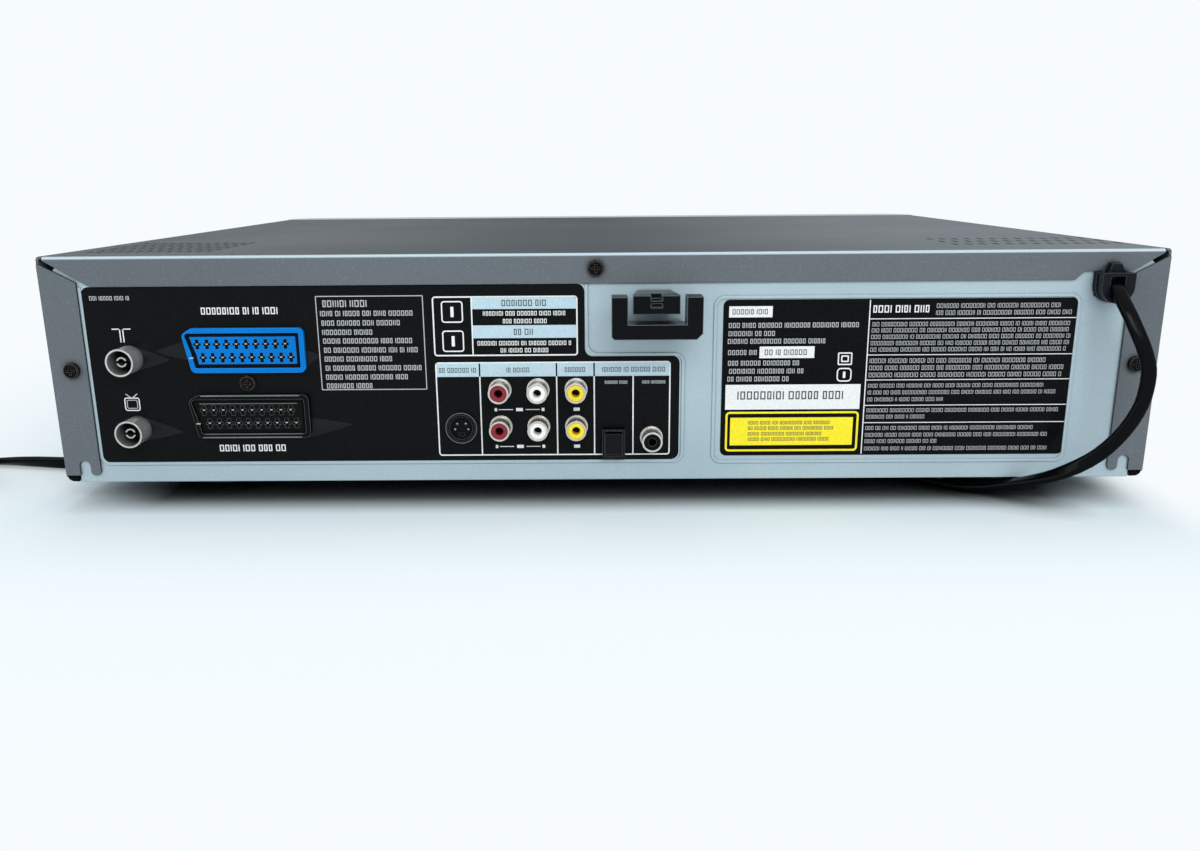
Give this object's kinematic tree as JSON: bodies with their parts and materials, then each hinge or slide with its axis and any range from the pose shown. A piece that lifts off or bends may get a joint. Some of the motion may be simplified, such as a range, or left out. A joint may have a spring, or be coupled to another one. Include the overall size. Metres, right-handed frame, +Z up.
{
  "type": "dvd vcr combo player",
  "caption": "Flat metal-cased disc and video cassette player with a rear socket panel, cord hook, front disc tray, cassette slot, buttons and mains cord.",
  "frame": {"origin": "centre of the case's footprint on the surface it stands on, cord left out", "axes": "+Z up, the front with tray and cassette slot faces -Y, the socket panel faces +Y, +X is the aerial socket side"},
  "size_m": [0.6047, 0.3731, 0.099],
  "materials": {
    "bottom_chassis": "zinc-plated sheet",
    "rear_panel": "pale blue-grey plated sheet",
    "top_cover": "speckled metallic grey paint",
    "front_panel": "silver painted moulding",
    "display_window": "smoked window",
    "feet": "black moulding",
    "case_screws": "black oxide",
    "cable_hook": "black moulding",
    "cord_bushing": "black moulding",
    "main_board": "green circuit board",
    "power_board": "tan circuit board",
    "transformer": "ferrite and tape",
    "capacitors": "dark blue sleeves",
    "heatsink": "plain",
    "front_board": "green circuit board",
    "tuner_can": "tinned can",
    "antenna_jacks": "nickel plate",
    "scart_blue": "blue moulding",
    "scart_black": "black moulding",
    "socket_housings": "black moulding",
    "jack_shells": "nickel plate",
    "red_inserts": "dark red",
    "white_inserts": "white",
    "yellow_inserts": "yellow",
    "optical_shutter": "black",
    "power_cord": "black sheath",
    "cord_coil": "black sheath",
    "mains_plug": "black moulding",
    "loader_frame": "black moulding",
    "clamp_bridge": "plated",
    "disc_clamp": "black",
    "disc_tray": "dark grey moulding",
    "tray_fascia": "silver painted moulding",
    "tray_gear": "white moulding",
    "turntable": "black",
    "sled_rails": "ground rod",
    "laser_sled": "dark moulding",
    "sled_screw": "cream moulding",
    "deck_plate": "plated",
    "lower_drum": "turned",
    "upper_drum": "polished",
    "capstan": "ground",
    "pinch_arm": "pressed",
    "pinch_roller": "black",
    "supply_reel": "dark moulding",
    "takeup_reel": "dark moulding",
    "carriage_frame": "pressed",
    "carriage_slide": "grey moulding",
    "cassette_holder": "pressed",
    "tape_guides": "polished",
    "tape_heads": "plain",
    "cassette_door": "silver painted moulding",
    "drive_motors": "plated cans",
    "power_button": "bright silver",
    "eject_button": "bright silver",
    "rewind_button": "bright silver",
    "play_button": "bright silver",
    "forward_button": "bright silver",
    "stop_button": "bright silver",
    "open_button": "bright silver"
  },
  "bodies": {
    "case": {"bottom_chassis": "bottom_chassis", "rear_panel": "rear_panel", "top_cover": "top_cover", "front_panel": "front_panel", "display_window": "display_window", "feet": "feet", "case_screws": "case_screws", "cable_hook": "cable_hook", "cord_bushing": "cord_bushing", "main_board": "main_board", "power_board": "power_board", "transformer": "transformer", "capacitors": "capacitors", "heatsink": "heatsink", "front_board": "front_board", "tuner_can": "tuner_can", "antenna_jacks": "antenna_jacks", "scart_blue": "scart_blue", "scart_black": "scart_black", "socket_housings": "socket_housings", "jack_shells": "jack_shells", "red_inserts": "red_inserts", "white_inserts": "white_inserts", "yellow_inserts": "yellow_inserts", "power_cord": "power_cord", "cord_coil": "cord_coil", "mains_plug": "mains_plug", "loader_frame": "loader_frame", "clamp_bridge": "clamp_bridge", "sled_rails": "sled_rails", "deck_plate": "deck_plate", "lower_drum": "lower_drum", "carriage_frame": "carriage_frame", "tape_heads": "tape_heads", "drive_motors": "drive_motors"},
    "door": {"cassette_door": "cassette_door"},
    "tray": {"disc_tray": "disc_tray", "tray_fascia": "tray_fascia"},
    "gear": {"tray_gear": "tray_gear"},
    "table": {"turntable": "turntable"},
    "clamp": {"disc_clamp": "disc_clamp"},
    "sled": {"laser_sled": "laser_sled"},
    "screw": {"sled_screw": "sled_screw"},
    "drum": {"upper_drum": "upper_drum"},
    "capstan_shaft": {"capstan": "capstan"},
    "arm": {"pinch_arm": "pinch_arm"},
    "roller": {"pinch_roller": "pinch_roller"},
    "supply": {"supply_reel": "supply_reel"},
    "takeup": {"takeup_reel": "takeup_reel"},
    "carriage": {"carriage_slide": "carriage_slide"},
    "holder": {"cassette_holder": "cassette_holder"},
    "guides": {"tape_guides": "tape_guides"},
    "shutter": {"optical_shutter": "optical_shutter"},
    "power": {"power_button": "power_button"},
    "eject": {"eject_button": "eject_button"},
    "rewind": {"rewind_button": "rewind_button"},
    "play": {"play_button": "play_button"},
    "forward": {"forward_button": "forward_button"},
    "stop": {"stop_button": "stop_button"},
    "open": {"open_button": "open_button"}
  },
  "joints": [
    {"name": "door_hinge", "type": "hinge", "parent": "case", "child": "door", "pos_m": [-0.1, -0.177, 0.086], "axis": [1, 0, 0], "range_deg": [0, 75], "stiffness_Nm_per_rad": 0.01},
    {"name": "tray_slide", "type": "slide", "parent": "case", "child": "tray", "axis": [0, -1, 0], "range_m": [0, 0.15]},
    {"name": "tray_gear_turn", "type": "hinge", "parent": "case", "child": "gear", "pos_m": [0.07218, -0.14, 0.07], "axis": [0, 0, 1], "range_deg": [-720, 720]},
    {"name": "turntable_spin", "type": "hinge", "parent": "case", "child": "table", "pos_m": [0.114, -0.085, 0.075], "axis": [0, 0, 1], "continuous": true},
    {"name": "clamp_spin", "type": "hinge", "parent": "case", "child": "clamp", "pos_m": [0.114, -0.085, 0.089], "axis": [0, 0, 1], "continuous": true},
    {"name": "sled_slide", "type": "slide", "parent": "case", "child": "sled", "axis": [0, 1, 0], "range_m": [0, 0.035]},
    {"name": "screw_turn", "type": "hinge", "parent": "case", "child": "screw", "pos_m": [0.154, -0.05, 0.062], "axis": [0, 1, 0], "range_deg": [-1200, 1200]},
    {"name": "drum_spin", "type": "hinge", "parent": "case", "child": "drum", "pos_m": [-0.1, 0.058, 0.05], "axis": [0, 0, 1], "continuous": true},
    {"name": "capstan_spin", "type": "hinge", "parent": "case", "child": "capstan_shaft", "pos_m": [-0.04, 0.026, 0.03], "axis": [0, 0, 1], "continuous": true},
    {"name": "pinch_swing", "type": "hinge", "parent": "case", "child": "arm", "pos_m": [-0.014, 0.0356, 0.04], "axis": [0, 0, 1], "range_deg": [0, 25]},
    {"name": "roller_spin", "type": "hinge", "parent": "arm", "child": "roller", "pos_m": [-0.03756, 0.04659, 0.05], "axis": [0, 0, 1], "continuous": true},
    {"name": "supply_spin", "type": "hinge", "parent": "case", "child": "supply", "pos_m": [-0.146, -0.03, 0.035], "axis": [0, 0, 1], "continuous": true},
    {"name": "takeup_spin", "type": "hinge", "parent": "case", "child": "takeup", "pos_m": [-0.054, -0.03, 0.035], "axis": [0, 0, 1], "continuous": true},
    {"name": "carriage_travel", "type": "slide", "parent": "case", "child": "carriage", "axis": [0, 1, 0], "range_m": [0, 0.06]},
    {"name": "holder_drop", "type": "slide", "parent": "carriage", "child": "holder", "axis": [0, 0, -1], "range_m": [0, 0.024]},
    {"name": "tape_loading", "type": "slide", "parent": "case", "child": "guides", "axis": [0, 1, 0], "range_m": [0, 0.05]},
    {"name": "shutter_hinge", "type": "hinge", "parent": "case", "child": "shutter", "pos_m": [-0.00475, 0.1631, 0.0283], "axis": [-1, 0, 0], "range_deg": [0, 80], "stiffness_Nm_per_rad": 0.0002},
    {"name": "power_press", "type": "slide", "parent": "case", "child": "power", "axis": [0, 1, 0], "range_m": [0, 0.0008], "stiffness_N_per_m": 300},
    {"name": "eject_press", "type": "slide", "parent": "case", "child": "eject", "axis": [0, 1, 0], "range_m": [0, 0.0008], "stiffness_N_per_m": 300},
    {"name": "rewind_press", "type": "slide", "parent": "case", "child": "rewind", "axis": [0, 1, 0], "range_m": [0, 0.0008], "stiffness_N_per_m": 300},
    {"name": "play_press", "type": "slide", "parent": "case", "child": "play", "axis": [0, 1, 0], "range_m": [0, 0.0008], "stiffness_N_per_m": 300},
    {"name": "forward_press", "type": "slide", "parent": "case", "child": "forward", "axis": [0, 1, 0], "range_m": [0, 0.0008], "stiffness_N_per_m": 300},
    {"name": "stop_press", "type": "slide", "parent": "case", "child": "stop", "axis": [0, 1, 0], "range_m": [0, 0.0008], "stiffness_N_per_m": 300},
    {"name": "open_press", "type": "slide", "parent": "case", "child": "open", "axis": [0, 1, 0], "range_m": [0, 0.0008], "stiffness_N_per_m": 300}
  ],
  "couplings": [
    {"joint": "tray_gear_turn", "follows": "tray_slide", "rad_per_m": 83.333},
    {"joint": "clamp_spin", "follows": "turntable_spin", "ratio": 1},
    {"joint": "screw_turn", "follows": "sled_slide", "rad_per_m": 523.6}
  ]
}
